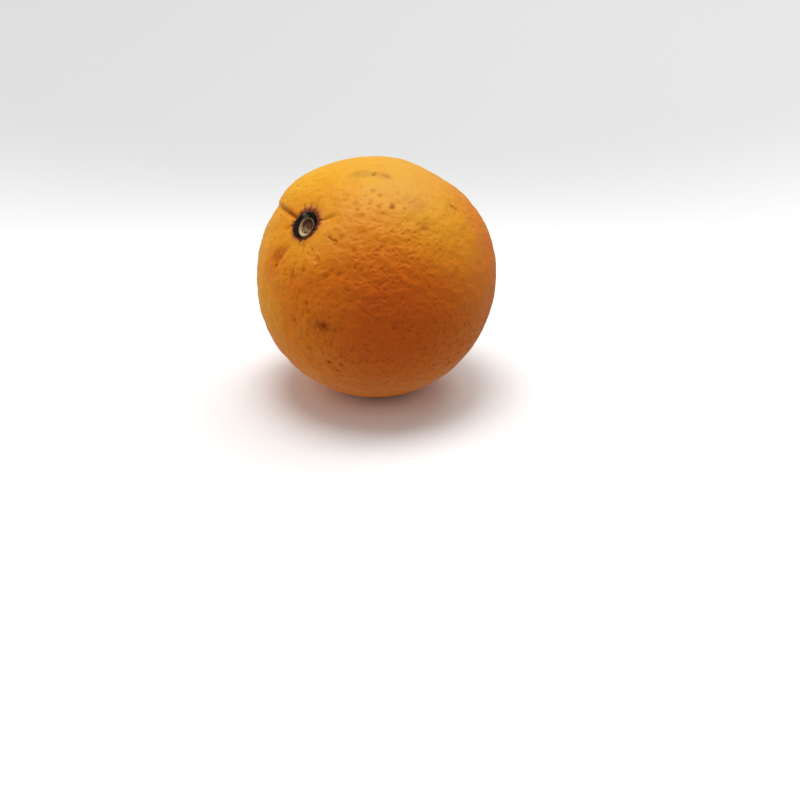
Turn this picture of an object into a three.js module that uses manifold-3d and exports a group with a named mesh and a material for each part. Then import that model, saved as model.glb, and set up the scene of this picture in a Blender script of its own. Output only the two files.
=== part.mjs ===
// A ripe orange lying on its side, made of three pieces: the fruit with its pebbled
// peel, the dried calyx set into the stem end, and the cut stub of the stalk that
// stands in the calyx.
//
// Millimetres, +Z up. The origin is the middle of the small flat spot that the fruit
// rests on, straight below the fruit's centre.
//
// Each piece is shaped about the stem's own axis first: there +Z leaves the fruit
// through the stem, and bearing 0 is the side of the stem that ends up uppermost.
// An angle is measured at the fruit's centre, from the stem. Bearings and angles are
// in degrees, and a bearing grows anticlockwise seen from outside.

import * as THREE from 'three';
import { ConvexGeometry } from 'three/addons/geometries/ConvexGeometry.js';
import { mergeVertices } from 'three/addons/utils/BufferGeometryUtils.js';
import Module from 'manifold-3d';

const { clamp, degToRad, radToDeg, smoothstep, lerp, seededRandom } = THREE.MathUtils;

// The fruit's size and how it lies
const FRUIT_RADIUS = 40;
const POLE_FLATTENING = 0.6;
const CENTRE_HEIGHT = 39.1;
const STEM_AZIMUTH = -44;
const STEM_ELEVATION = 41;

// Broad swells and flats that keep the fruit from being a true sphere
const SHOULDER = { angle: 37, bearing: 56, spread: 16, height: 1.6 };
const SHOULDER_EDGE = { from: -0.5, to: 1.0 };
const SWELLS = [
  { angle: 79, bearing: -11, spread: 15, height: -0.7 },
  { angle: 106, bearing: -43, spread: 22, height: 0.7 },
  { angle: 54, bearing: 126, spread: 16, height: -0.5 },
  { angle: 112, bearing: 60, spread: 28, height: -0.5 },
];

// The hollow round the stem and the one round the blossom scar, with its pit
const STEM_HOLLOW = { depth: 1.4, reach: 9 };
const BLOSSOM_HOLLOW = { depth: 0.9, reach: 8 };
const BLOSSOM_PIT = { depth: 0.9, reach: 1.6 };

// Grooves that run straight out from the stem, from one arc length to another. Each
// deepens over its first stretch and fades out over its further half.
const CREASE_START = 2;
const MAIN_CREASE = { bearing: 77, from: 4, to: 27, width: 1.0, depth: 1.1 };
const SHORT_CREASES = [
  { bearing: 43, from: 5, to: 10, width: 0.7, depth: 0.3 },
  { bearing: 22, from: 5, to: 9, width: 0.7, depth: 0.3 },
  { bearing: 7, from: 5, to: 12, width: 0.7, depth: 0.35 },
  { bearing: -55, from: 5, to: 12, width: 0.8, depth: 0.5 },
  { bearing: -98, from: 8, to: 15, width: 0.8, depth: 0.25 },
  { bearing: -160, from: 5, to: 12, width: 0.9, depth: 0.5 },
  { bearing: 110, from: 5, to: 13, width: 0.9, depth: 0.4 },
  { bearing: 154, from: 8, to: 19, width: 1.9, depth: 0.6 },
];

// The pebbled peel: waves in all directions, larger than the real pores
const PEBBLE_LENGTH = 6;
const PEBBLE_HEIGHT = 0.2;
const PEBBLE_WAVES = 90;
const PEBBLE_SEED = 11;
const SMOOTH_REACH = 9;

// How far apart the surface points lie at the stem, over the flanks and at the scar
const SPACING = { stem: 0.9, flank: 2.4, scar: 1.0 };
const STEM_PATCH = { inner: 8, outer: 24 };
const SCAR_PATCH = { inner: 3, outer: 9 };
const CREASE_STEP = 1.3;
const CREASE_ROWS = [-1.7, -0.8, 0, 0.8, 1.7];

// The calyx: a dried button that stands a little off the stem's axis. Its points reach
// into the peel and are placed about its own middle.
const CALYX_RADIUS = 5.0;
const CALYX_BOTTOM = 36.9;
const CALYX_RIM_TOP = 37.85;
const CALYX_SLOPE = { radius: 4.75, height: 38.15 };
const CALYX_CREST = { radius: 4.3, height: 38.25 };
const CALYX_SHIFT = { length: 0.9, bearing: 90 };
const CALYX_SECTORS = 180;
const CALYX_POINTS = [
  { bearing: -5, length: 0.8 },
  { bearing: 6, length: 0.2 },
  { bearing: 17, length: 0.8 },
  { bearing: 38, length: 1.0 },
  { bearing: 52, length: 0.35 },
  { bearing: 64, length: 0.2 },
  { bearing: 90, length: 0.75 },
  { bearing: 104, length: 0.8 },
  { bearing: 120, length: 0.2 },
  { bearing: 150, length: 0.15 },
  { bearing: 192, length: 0.7 },
  { bearing: 214, length: 0.25 },
  { bearing: 240, length: 0.15 },
  { bearing: 268, length: 0.4 },
  { bearing: 287, length: 0.5 },
  { bearing: 301, length: 0.9 },
  { bearing: 318, length: 0.2 },
  { bearing: 335, length: 0.3 },
];
const POINT_HALF_WIDTH = 7;
const SEAT_POINT_HALF_WIDTH = 10;

// The stub of the stalk: a slightly oval disc, off the stem's axis on the other side. Its
// cup is cut nearer to one side, so the rim is thin there and wide opposite.
const STUB_RADIUS = 3.05;
const STUB_BOTTOM = 37.8;
const STUB_EDGE_TOP = 38.45;
const STUB_RIM = { radius: 2.85, height: 38.7 };
const STUB_SHIFT = { length: 0.6, bearing: -170 };
const STUB_OVAL = { share: 0.07, bearing: 32 };
const STUB_SECTORS = 48;
const CUP_FLOOR = { radius: 1.8, height: 38.2 };
const CUP_MOUTH_RADIUS = 2.3;
const CUP_SHIFT = { length: 0.4, bearing: -45 };

// The air left between one piece and the next, and how high the cuts for them reach
const CLEARANCE = 0.3;
const CUT_TOP = 45;

const FINISHES = {
  peel: { color: 0xd4791c, roughness: 0.45, metalness: 0 },
  calyx: { color: 0x26231a, roughness: 0.7, metalness: 0 },
  stub: { color: 0xa08560, roughness: 0.8, metalness: 0 },
};

const FULL_TURN = 2 * Math.PI;
const GOLDEN_ANGLE = Math.PI * (3 - Math.sqrt(5));
const MERGE_DISTANCE = 1e-4;

const wasm = await Module();
wasm.setup();

// A bell-shaped falloff: 1 at nothing, a third of that at one reach.
function bell(distance, reach) {
  return Math.exp(-((distance / reach) ** 2));
}

// The unit vector at an angle from the stem and a bearing round it, in radians.
function polarDirection(angle, bearing) {
  const level = Math.sin(angle);
  return new THREE.Vector3(level * Math.cos(bearing), level * Math.sin(bearing), Math.cos(angle));
}

// How high one swell lifts the surface in a direction.
function swellHeight(direction, { angle, bearing, spread, height }) {
  const middle = polarDirection(degToRad(angle), degToRad(bearing));
  return height * bell(radToDeg(direction.angleTo(middle)), spread);
}

// How far a point lies to the side of a groove, growing with the bearing, or
// infinity on the far side of the stem.
function sidewaysFrom(groove, arc, bearing) {
  const turn = bearing - degToRad(groove.bearing);
  return Math.cos(turn) > 0 ? arc * Math.sin(turn) : Infinity;
}

// How deep a groove is at an arc length from the stem and a bearing.
function grooveDepth(groove, arc, bearing) {
  const sideways = sidewaysFrom(groove, arc, bearing);
  const start = smoothstep(arc, groove.from, groove.from + CREASE_START);
  const finish = 1 - smoothstep(arc, (groove.from + groove.to) / 2, groove.to);
  return groove.depth * bell(sideways, groove.width) * start * finish;
}

// The shoulder stops short at the main crease, like a fold of the peel.
function shoulderHeight(direction, arc, bearing) {
  const sideways = sidewaysFrom(MAIN_CREASE, arc, bearing);
  const share = smoothstep(-sideways, SHOULDER_EDGE.from, SHOULDER_EDGE.to);
  return swellHeight(direction, SHOULDER) * share;
}

// Waves of one length in random directions, which add up to a pebbled surface.
function makePebbleWaves() {
  seededRandom(PEBBLE_SEED);
  const waves = [];
  for (let i = 0; i < PEBBLE_WAVES; i++) {
    const angle = Math.acos(2 * seededRandom() - 1);
    const direction = polarDirection(angle, FULL_TURN * seededRandom());
    waves.push({ direction, phase: FULL_TURN * seededRandom() });
  }
  return waves;
}

const pebbleWaves = makePebbleWaves();

function pebbleHeight(direction) {
  const turns = (FULL_TURN * FRUIT_RADIUS) / PEBBLE_LENGTH;
  let sum = 0;
  for (const wave of pebbleWaves) {
    sum += Math.sin(turns * direction.dot(wave.direction) + wave.phase);
  }
  return (PEBBLE_HEIGHT * sum) / Math.sqrt(PEBBLE_WAVES / 2);
}

// The distance from the fruit's centre to its surface in a direction.
function peelRadius(direction) {
  const angle = Math.acos(clamp(direction.z, -1, 1));
  const arc = FRUIT_RADIUS * angle;
  const arcToScar = FRUIT_RADIUS * (Math.PI - angle);
  const bearing = Math.atan2(direction.y, direction.x);
  let radius = FRUIT_RADIUS - POLE_FLATTENING * direction.z ** 2;
  radius += shoulderHeight(direction, arc, bearing);
  for (const swell of SWELLS) radius += swellHeight(direction, swell);
  radius -= STEM_HOLLOW.depth * bell(arc, STEM_HOLLOW.reach);
  radius -= BLOSSOM_HOLLOW.depth * bell(arcToScar, BLOSSOM_HOLLOW.reach);
  radius -= BLOSSOM_PIT.depth * bell(arcToScar, BLOSSOM_PIT.reach);
  for (const crease of [MAIN_CREASE, ...SHORT_CREASES]) radius -= grooveDepth(crease, arc, bearing);
  return radius + pebbleHeight(direction) * (1 - bell(arc, SMOOTH_REACH));
}

// The distance wanted between surface points at an angle from the stem.
function pointSpacing(angle) {
  const arc = FRUIT_RADIUS * angle;
  const arcToScar = FRUIT_RADIUS * (Math.PI - angle);
  const fromStem = smoothstep(arc, STEM_PATCH.inner, STEM_PATCH.outer);
  const fromScar = smoothstep(arcToScar, SCAR_PATCH.inner, SCAR_PATCH.outer);
  return Math.min(
    lerp(SPACING.stem, SPACING.flank, fromStem),
    lerp(SPACING.scar, SPACING.flank, fromScar),
  );
}

// Directions spread in a spiral from the stem to the scar, which leaves a strip free
// along the main crease for rows of points that follow it.
function surfaceDirections() {
  const directions = [];
  const stripHalfWidth = CREASE_ROWS.at(-1) + CREASE_STEP / 2;
  let height = 1;
  for (let turn = 0; height > -1; turn++) {
    const angle = Math.acos(height);
    const arc = FRUIT_RADIUS * angle;
    const bearing = (turn * GOLDEN_ANGLE) % FULL_TURN;
    const sideways = Math.abs(sidewaysFrom(MAIN_CREASE, arc, bearing));
    const onCrease = arc > CALYX_RADIUS && arc < MAIN_CREASE.to && sideways < stripHalfWidth;
    if (!onCrease) directions.push(polarDirection(angle, bearing));
    height -= pointSpacing(angle) ** 2 / (FULL_TURN * FRUIT_RADIUS ** 2);
  }
  for (let arc = CALYX_RADIUS + CREASE_STEP; arc < MAIN_CREASE.to; arc += CREASE_STEP) {
    for (const sideways of CREASE_ROWS) {
      const bearing = degToRad(MAIN_CREASE.bearing) + Math.asin(sideways / arc);
      directions.push(polarDirection(arc / FRUIT_RADIUS, bearing));
    }
  }
  return directions;
}

// A closed geometry as a solid that can be joined and cut.
function toSolid(geometry) {
  const bare = geometry.clone();
  bare.deleteAttribute('normal');
  bare.deleteAttribute('uv');
  const merged = mergeVertices(bare, MERGE_DISTANCE);
  const vertProperties = merged.attributes.position.array;
  const triVerts = Uint32Array.from(merged.index.array);
  return new wasm.Manifold(new wasm.Mesh({ numProp: 3, vertProperties, triVerts }));
}

// A solid as a geometry again.
function toGeometry(solid) {
  const mesh = solid.getMesh();
  const geometry = new THREE.BufferGeometry();
  geometry.setAttribute('position', new THREE.BufferAttribute(mesh.vertProperties, 3));
  geometry.setIndex(new THREE.BufferAttribute(mesh.triVerts, 1));
  geometry.computeVertexNormals();
  return geometry;
}

// A profile of [radius, height] pairs from the underside's middle to the top's
// middle, turned about the stem's axis.
function turned(profile, sectors) {
  const points = profile.map(([radius, height]) => new THREE.Vector2(radius, height));
  return new THREE.LatheGeometry(points, sectors).rotateX(Math.PI / 2);
}

// Moves every vertex by a function of its place.
function reshape(geometry, move) {
  const position = geometry.attributes.position;
  const point = new THREE.Vector3();
  for (let i = 0; i < position.count; i++) {
    move(point.fromBufferAttribute(position, i));
    position.setXYZ(i, point.x, point.y, point.z);
  }
  return geometry;
}

// The profile of a straight-sided plug that cuts a seat into what is under it.
function plug(radius, bottom) {
  return [[0, bottom], [radius, bottom], [radius, CUT_TOP], [0, CUT_TOP]];
}

// How far the calyx's points reach past its round edge at a bearing.
function pointReach(bearing, halfWidth) {
  let reach = 0;
  for (const point of CALYX_POINTS) {
    const turn = Math.abs(radToDeg(Math.atan2(
      Math.sin(bearing - degToRad(point.bearing)),
      Math.cos(bearing - degToRad(point.bearing)),
    )));
    reach = Math.max(reach, point.length * (1 - turn / halfWidth));
  }
  return reach;
}

// Draws the edge of a turned button out into the calyx's points.
function drawPoints(geometry, halfWidth) {
  return reshape(geometry, (point) => {
    const radius = Math.hypot(point.x, point.y);
    const share = smoothstep(radius, CALYX_CREST.radius, CALYX_RADIUS);
    if (share === 0) return;
    const reach = share * pointReach(Math.atan2(point.y, point.x), halfWidth);
    const stretch = (radius + reach) / radius;
    point.set(point.x * stretch, point.y * stretch, point.z);
  });
}

// Shifts a piece away from the stem's axis, by a length towards a bearing.
function shifted(geometry, { length, bearing }) {
  const turn = degToRad(bearing);
  return geometry.translate(length * Math.cos(turn), length * Math.sin(turn), 0);
}

// The space that the calyx takes up in the peel, with air all round it.
function calyxSeat() {
  const seat = turned(plug(CALYX_RADIUS + CLEARANCE, CALYX_BOTTOM - CLEARANCE), CALYX_SECTORS);
  return shifted(drawPoints(seat, SEAT_POINT_HALF_WIDTH), CALYX_SHIFT);
}

// Draws a round piece of the stub out into its oval and sets it where the stub stands.
function asStub(geometry) {
  const turn = degToRad(STUB_OVAL.bearing);
  geometry.rotateZ(-turn).scale(1 + STUB_OVAL.share, 1 - STUB_OVAL.share, 1).rotateZ(turn);
  return shifted(geometry, STUB_SHIFT);
}

// A block under the surface that the fruit lies on.
function ground() {
  const size = 4 * FRUIT_RADIUS;
  return new THREE.BoxGeometry(size, size, size).translate(0, 0, -size / 2);
}

// Turns a piece from the stem's axis to the way the fruit lies.
function asItLies(geometry) {
  const azimuth = degToRad(STEM_AZIMUTH);
  const elevation = degToRad(STEM_ELEVATION);
  const level = Math.cos(elevation);
  const stem = new THREE.Vector3(
    level * Math.sin(azimuth),
    -level * Math.cos(azimuth),
    Math.sin(elevation),
  );
  const upper = new THREE.Vector3(0, 0, 1).addScaledVector(stem, -stem.z).normalize();
  const side = new THREE.Vector3().crossVectors(stem, upper);
  const turn = new THREE.Matrix4().makeBasis(upper, side, stem);
  return geometry.applyMatrix4(turn).translate(0, 0, CENTRE_HEIGHT);
}

function fruit() {
  const surface = reshape(new ConvexGeometry(surfaceDirections()), (point) => {
    point.multiplyScalar(peelRadius(point));
  });
  const seated = toSolid(surface).subtract(toSolid(calyxSeat()));
  const lying = toSolid(asItLies(toGeometry(seated)));
  return toGeometry(lying.subtract(toSolid(ground())));
}

function calyx() {
  const profile = [
    [0, CALYX_BOTTOM],
    [CALYX_RADIUS, CALYX_BOTTOM],
    [CALYX_RADIUS, CALYX_RIM_TOP],
    [CALYX_SLOPE.radius, CALYX_SLOPE.height],
    [CALYX_CREST.radius, CALYX_CREST.height],
    [0, CALYX_CREST.height],
  ];
  const button = shifted(drawPoints(turned(profile, CALYX_SECTORS), POINT_HALF_WIDTH), CALYX_SHIFT);
  const socket = asStub(turned(plug(STUB_RADIUS + CLEARANCE, STUB_BOTTOM - CLEARANCE), STUB_SECTORS));
  return asItLies(toGeometry(toSolid(button).subtract(toSolid(socket))));
}

function stemStub() {
  const disc = [
    [0, STUB_BOTTOM],
    [STUB_RADIUS, STUB_BOTTOM],
    [STUB_RADIUS, STUB_EDGE_TOP],
    [STUB_RIM.radius, STUB_RIM.height],
    [0, STUB_RIM.height],
  ];
  const slope = (CUP_MOUTH_RADIUS - CUP_FLOOR.radius) / (STUB_RIM.height - CUP_FLOOR.height);
  const hollow = [
    [0, CUP_FLOOR.height],
    [CUP_FLOOR.radius, CUP_FLOOR.height],
    [CUP_FLOOR.radius + slope * (CUT_TOP - CUP_FLOOR.height), CUT_TOP],
    [0, CUT_TOP],
  ];
  const cup = shifted(turned(hollow, STUB_SECTORS), CUP_SHIFT);
  const cupped = toSolid(turned(disc, STUB_SECTORS)).subtract(toSolid(cup));
  return asItLies(asStub(toGeometry(cupped)));
}

function piece(name, geometry, finish) {
  const mesh = new THREE.Mesh(geometry, new THREE.MeshStandardMaterial(finish));
  mesh.name = name;
  return mesh;
}

const orange = new THREE.Group();
orange.add(piece('fruit', fruit(), FINISHES.peel));
orange.add(piece('calyx', calyx(), FINISHES.calyx));
orange.add(piece('stem_stub', stemStub(), FINISHES.stub));

export default orange;
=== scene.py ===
"""An orange lying on its side: the fruit with its pebbled peel, the dried calyx and the cut stem stub.

The shapes are worked out about the stem's own axis, in millimetres, from the same named sizes as the
solids: +Z leaves the fruit through the stem, and bearing 0 is the side of the stem that lies uppermost.
An angle is measured at the fruit's centre from the stem, and a bearing grows anticlockwise seen from
outside, both in degrees. The finished meshes are turned to the way the fruit lies, in metres.

Some names end in a word that says what their numbers are. A NOISE is a length in millimetres, a
detail and, if it isn't 0.5, a roughness. A FALL is the two values where nodes.fall gives 1 and 0. A
RANGE is the factor and the offset that nodes.linear takes. An EDGE is the two values between which
smoothstep rises from 0 to 1. RIPPLES are rows of a height, a seed, the fewest waves, a limit that
the waves stay below, and how many parts are added up.
"""

import math

import bmesh
import bpy
import numpy as np
from mathutils import Matrix, Vector


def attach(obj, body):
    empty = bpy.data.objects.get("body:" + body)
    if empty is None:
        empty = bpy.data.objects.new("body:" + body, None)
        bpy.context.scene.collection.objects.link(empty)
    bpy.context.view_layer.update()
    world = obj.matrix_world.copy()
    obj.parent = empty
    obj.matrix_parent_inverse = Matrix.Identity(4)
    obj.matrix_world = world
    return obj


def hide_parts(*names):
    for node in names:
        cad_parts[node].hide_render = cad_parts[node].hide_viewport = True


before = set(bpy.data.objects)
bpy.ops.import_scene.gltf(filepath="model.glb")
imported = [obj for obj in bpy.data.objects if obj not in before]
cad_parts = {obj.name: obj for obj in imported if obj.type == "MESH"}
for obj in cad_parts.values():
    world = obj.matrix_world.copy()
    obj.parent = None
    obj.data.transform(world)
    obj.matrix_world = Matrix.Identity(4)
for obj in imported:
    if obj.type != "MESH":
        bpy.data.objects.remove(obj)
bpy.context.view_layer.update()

MM = 0.001

# ---- sizes and places ------------------------------------------------------------------------------

# The fruit's size and how it lies
FRUIT_RADIUS = 40
POLE_FLATTENING = 0.6
CENTRE_HEIGHT = 39.1
STEM_AZIMUTH = -44
STEM_ELEVATION = 41

# Broad swells and flats: angle from the stem, bearing, spread and height. The shoulder breaks off
# beside the deepest crease.
SHOULDER = (37, 56, 16, 1.6)
SHOULDER_EDGE = (-0.5, 1.0)
SWELLS = [(79, -11, 15, -0.7), (106, -43, 22, 0.7), (54, 126, 16, -0.5), (112, 60, 28, -0.5)]

# Hollows round the stem and the blossom scar: depth and reach
STEM_HOLLOW = (1.4, 9)
BLOSSOM_HOLLOW = (0.9, 8)
BLOSSOM_PIT = (0.9, 1.6)
BLOSSOM_SCAR_EDGE = (0.9, 1.7)

# Grooves that run straight out from the stem: bearing, start, end, width and depth. The deepest one
# has a narrow line in its bed, and brown painted shade along it that fades by a share.
MAIN_CREASE = (77, 4, 27, 1.0, 1.1)
CREASE_LINE = (77, 5.5, 30, 0.32, 0.35)
CREASE_SHADE = (77, 5, 30, 0.65, 0.9)
CREASE_SHADE_FADE_EDGE = (8, 18)
CREASE_SHADE_FADE = 0.45
SHORT_CREASES = [
    (43, 5, 10, 0.7, 0.3),
    (22, 5, 9, 0.7, 0.3),
    (7, 5, 12, 0.7, 0.35),
    (-55, 5, 12, 0.8, 0.5),
    (-98, 8, 15, 0.8, 0.25),
    (-160, 5, 12, 0.9, 0.5),
    (110, 5, 13, 0.9, 0.4),
    (154, 8, 19, 1.9, 0.6),
]
CREASE_START = 2
# The brown painted shade in a short crease: its width in widths of the crease, and its strength for each
# mm of depth
CREASE_SHADE_WIDTH = 0.4
CREASE_SHADE_STRENGTH = 0.6

# The calyx and its points, which stand about its own middle: bearing and length
CALYX_RADIUS = 5.0
CALYX_OFFSET = 0.9
CALYX_BEARING = 90
CALYX_POINTS = [
    (-5, 0.8), (6, 0.2), (17, 0.8), (38, 1.0), (52, 0.35), (64, 0.2), (90, 0.75), (104, 0.8), (120, 0.2),
    (150, 0.15), (192, 0.7), (214, 0.25), (240, 0.15), (268, 0.4), (287, 0.5), (301, 0.9), (318, 0.2),
    (335, 0.3),
]
POINT_HALF_WIDTH = 7
# Each point runs on into the peel as a thin crack this many times as long: half widths at its ends,
# and how fast it grows faint
CRACK_STRETCH = 3.2
CRACK_HALF_WIDTHS = (0.5, 0.2)
CRACK_FADE = 0.6

# The calyx's section, radius and height above the fruit's centre, and its mesh: rings and sectors
CALYX_SECTION = [
    (0, 36.95), (4.7, 36.95), (4.9, 37.2), (CALYX_RADIUS, 38.0), (4.75, 38.22), (4.35, 38.34),
    (3.9, 38.22), (3.5, 37.95), (3.0, 37.8), (2.6, 37.7), (0, 37.7),
]
CALYX_MESH = (60, 320)
# Where its rim, its upper side and its brown border begin, by radius or height
CALYX_RIM_EDGE = (3.9, CALYX_RADIUS)
CALYX_TOP_EDGE = (37.4, 37.8)
CALYX_BORDER_EDGE = (4.1, 4.7)
# Its ragged outline, and its folds, which are lower on the rim and whose tops are brown
CALYX_OUTLINE_RIPPLES = [(0.08, 3, 20, 60, 9)]
CALYX_FOLD_RIPPLES = [(0.09, 5, 12, 30, 9), (0.05, 6, 30, 70, 9)]
RIM_FOLD_LOSS = 0.4
POINT_DROOP = 0.1
RIDGE_CONTRAST = 6
# A raised pale flake on it, partly a painted highlight: radius and bearing of its middle, its spread
# in each, and its height
PALE_MIDDLE = (3.5, 37)
PALE_SPREAD = (0.6, 14)
PALE_RISE = 0.15

# The seat in the peel that the calyx lies in, which follows its points by half, the brim round the
# seat, and the brown painted shade round the seat, which reaches further out round one bearing, in
# radians
SEAT_DEPTH = 0.9
SEAT_EDGE = (-0.15, 0.3)
SEAT_POINT_SHARE = 0.5
BRIM_SWELL = 0.2
BRIM_DISTANCE = 0.9
BRIM_SPREAD = 0.9
BRIM_SHADE_REACH = 0.8
BRIM_SHADE_GROWTH = 1.0
BRIM_SHADE_BEARING = 0.1
BRIM_SHADE_SPREAD = 1.1

# The stub of the stalk: an oval with a cup, whose rim is thin on one side and wide on the other
STUB_RADIUS = 3.05
STUB_OFFSET = 0.6
STUB_BEARING = -170
STUB_OVAL = (0.07, 32)
RIM_BEARING = -45
RIM_WIDTHS = (0.28, 1.1)
RIM_GROWTH = 1.5
CUP_RADIUS = 2.6

# The stub's section and its mesh, as the calyx's
STUB_SECTION = [
    (0, 37.55), (2.95, 37.55), (STUB_RADIUS, 37.8), (STUB_RADIUS, 38.45), (3.0, 38.62), (2.88, 38.7),
    (2.75, 38.68), (CUP_RADIUS, 38.55), (2.35, 38.36), (1.6, 38.2), (0.8, 38.14), (0, 38.14),
]
STUB_MESH = (56, 220)
# Where its upper side and its wall begin, and its ripples. Those of its outline and wall are shares.
STUB_TOP_EDGE = (37.9, 38.3)
STUB_WALL_EDGE = (2.0, STUB_RADIUS)
STUB_OUTLINE_RIPPLES = [(0.012, 8, 3, 7, 4)]
STUB_WALL_RIPPLES = [(0.012, 9, 9, 40, 9)]
STUB_TOP_RIPPLES = [(0.04, 12, 5, 18, 9), (0.025, 13, 20, 60, 9)]
# The cup's side, as distances from its radius, its deeper half, which starts along the stub's own x and
# carries painted shade, the spread of the cream side in radians, whose cream on the rim's lower side is
# partly painted light, and the widths at which the rim is no longer thin
CUP_EDGE = (-0.35, 0.05)
CUP_DEEP_SHADED_EDGE = (-1.3, 0.7)
CUP_DEEPENING = 0.25
LIT_CREAM_SPREAD = 0.9
THIN_RIM_EDGE = (0.35, 0.8)

# The peel's mesh: how often each face of an icosahedron is cut, how much closer the points draw
# together at the stem, and to how many decimals two points have to agree to be one
SPHERE_STEPS = 98
STEM_GATHER = 0.55
GATHER_REACH = 0.75
SAME_DECIMALS = 6

# The camera: a 45 mm lens on a 36 mm sensor, tilted down, with the fruit's centre at this place in a
# square frame of this many pixels
LENS = 45
SENSOR = 36
FRAME = 800
FRUIT_PIXEL = (375.4, 278.2)
CAMERA_DISTANCE = 0.338
CAMERA_TILT = 28

# The peel's relief: pores and rarer pits, each in a cell of its own, the pebbles between them, and
# broader lumps. A wobble bends the cells, and patches of the peel are rougher than others.
NOISE_MIDDLE = 0.5
PORE_CELL = 1.6
PORE_FALL = (0.05, 0.5)
PORE_RANGE = (0.7, 0.45)
PORE_DEPTH = 0.18
PIT_CELL = 2.4
PIT_FALL = (0.05, 0.32)
PIT_CHANCE_FALL = (0.8, 0.5)
PIT_DEPTH = 0.12
WOBBLE_LENGTH = 2.8
WOBBLE_DETAIL = 1.0
WOBBLE = 0.5
PEBBLE_NOISE = (2.2, 2.5, 0.55)
PEBBLE_HEIGHT = 0.25
LUMP_NOISE = (6, 1.0)
LUMP_HEIGHT = 0.3
PATCH_NOISE = (16, 1.0)
PATCH_RANGE = (0.8, 0.6)
BUMP_SHARE = 0.6

# Places on the peel: angle from the stem, bearing, the distances where each begins to fade and ends,
# and its share. The first are calmer than the rest, or rougher where the share is below 0.
CALM_PLACES = [
    (0, 0, 6, 16, 0.75), (58, -4, 12, 34, 0.86), (66, -52, 3, 18, 0.4), (33, -48, 4, 16, 0.42),
    (75, -76, 3, 12, 0.3), (27, -66, 3, 11, 0.3), (42, -112, 3, 14, -0.3), (62, -128, 4, 20, -0.9),
    (92, -106, 4, 19, -0.8), (36, 150, 4, 18, 0.5), (62, 178, 4, 17, 0.5), (94, -68, 4, 20, 0.75),
    (44, -131, 3, 15, 0.35),
]
# Yellower places, partly the peel's own tone and partly painted light: the first and broadest is the top
# of the fruit as it lies, and most others lie on its upper and left sides, where the light falls.
YELLOW_AND_LIT_PLACES = [
    (47, -4, 4, 50, 0.95), (68, -62, 3, 24, 0.35), (12, 165, 4, 17, 0.32), (58, 175, 5, 30, 0.15),
    (46, 139, 2, 26, 0.6), (32, 100, 2, 16, 0.5), (35, 53, 2, 16, 0.55),
]
# Deeper orange places, partly painted shade: the front of the fruit, where less light falls, and a patch
# beside the stem.
DEEP_AND_SHADED_PLACES = [(66, -115, 3, 34, 1.0), (24.5, 149, 1, 10, 0.5)]
PALE_PLACE = (11, -70, 3, 17, 0.45)
DULL_PLACE = (50, -28, 4, 24, 0.28)

# Marks on the peel: kind, strength, angle from the stem, bearing, half length, half width and turn
MARKS = [
    ("dark", 0.8, 47.3, -149.3, 0.8, 0.6, 80),
    ("dark", 0.28, 47.2, -150.6, 2.5, 1.8, 80),
    ("pale", 0.5, 48.2, -154, 0.6, 0.4, 0),
    ("red", 0.8, 47.2, -150, 2.6, 1.8, 80),
    ("olive", 0.75, 35.0, -11, 3.8, 2.2, -42),
    ("dark", 0.5, 39.6, -17.3, 1.2, 0.5, 39),
    ("red", 0.6, 39.5, -18, 1.3, 0.8, 39),
    ("red", 0.6, 42.4, -22.3, 2.5, 1.7, -51),
    ("dark", 0.3, 43.5, -24.2, 1.5, 0.4, -56),
    ("red", 0.4, 46.9, -9, 2.1, 0.5, -32),
    ("red", 0.9, 19.3, 148, 2.8, 1.6, -12),
    ("dark", 0.5, 23.9, 155.5, 0.6, 0.6, 0),
    ("red", 0.5, 23.5, -172, 0.9, 0.7, 0),
    ("red", 0.5, 21.2, -156, 0.7, 0.6, 0),
    ("red", 0.6, 63.2, -115, 1.3, 1.0, 0),
    ("red", 0.6, 55.0, -62, 2.2, 1.4, 60),
    ("olive", 0.6, 17.3, -31, 1.6, 1.0, 60),
    ("olive", 0.6, 47.6, -168, 1.6, 1.1, 60),
    ("dark", 0.65, 16.2, -97, 1.0, 0.25, -12),
    ("dark", 0.75, 18.7, -96, 0.9, 0.28, 14),
    ("dark", 0.35, 14.2, -145, 1.2, 0.25, 39),
    ("dark", 0.4, 13.4, -135, 0.8, 0.25, 12),
    ("red", 0.7, 18.5, -130, 1.2, 0.6, -9),
    ("pale", 0.7, 16.6, -127, 1.2, 0.4, 9),
    ("pale", 0.7, 19.6, -138, 1.9, 0.4, 43),
    ("pale", 0.7, 16.7, -146, 1.3, 0.4, 32),
    ("dark", 0.45, 71.8, -45.4, 1.9, 0.35, -20),
    ("red", 0.7, 70.5, -44.7, 0.9, 0.7, -20),
    ("red", 0.45, 52.0, -49, 3.4, 2.6, 0),
    ("red", 0.8, 40.4, -51.8, 1.0, 0.8, 0),
    ("dark", 0.4, 40.5, -52.5, 0.6, 0.4, 20),
    # The next two dark marks are painted shade in a faint crease of the relief.
    ("dark", 0.22, 52.5, -65.6, 1.7, 0.3, 29),
    ("dark", 0.12, 57.0, -63.4, 1.8, 0.3, 17),
    ("dark", 0.35, 71.3, -156, 1.6, 0.5, 63),
    ("dark", 0.5, 65.9, -157.5, 0.9, 0.5, 60),
    ("dark", 0.4, 68.5, -151.9, 0.5, 0.4, 0),
]
MARK_SOFTNESS = 0.6
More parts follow.
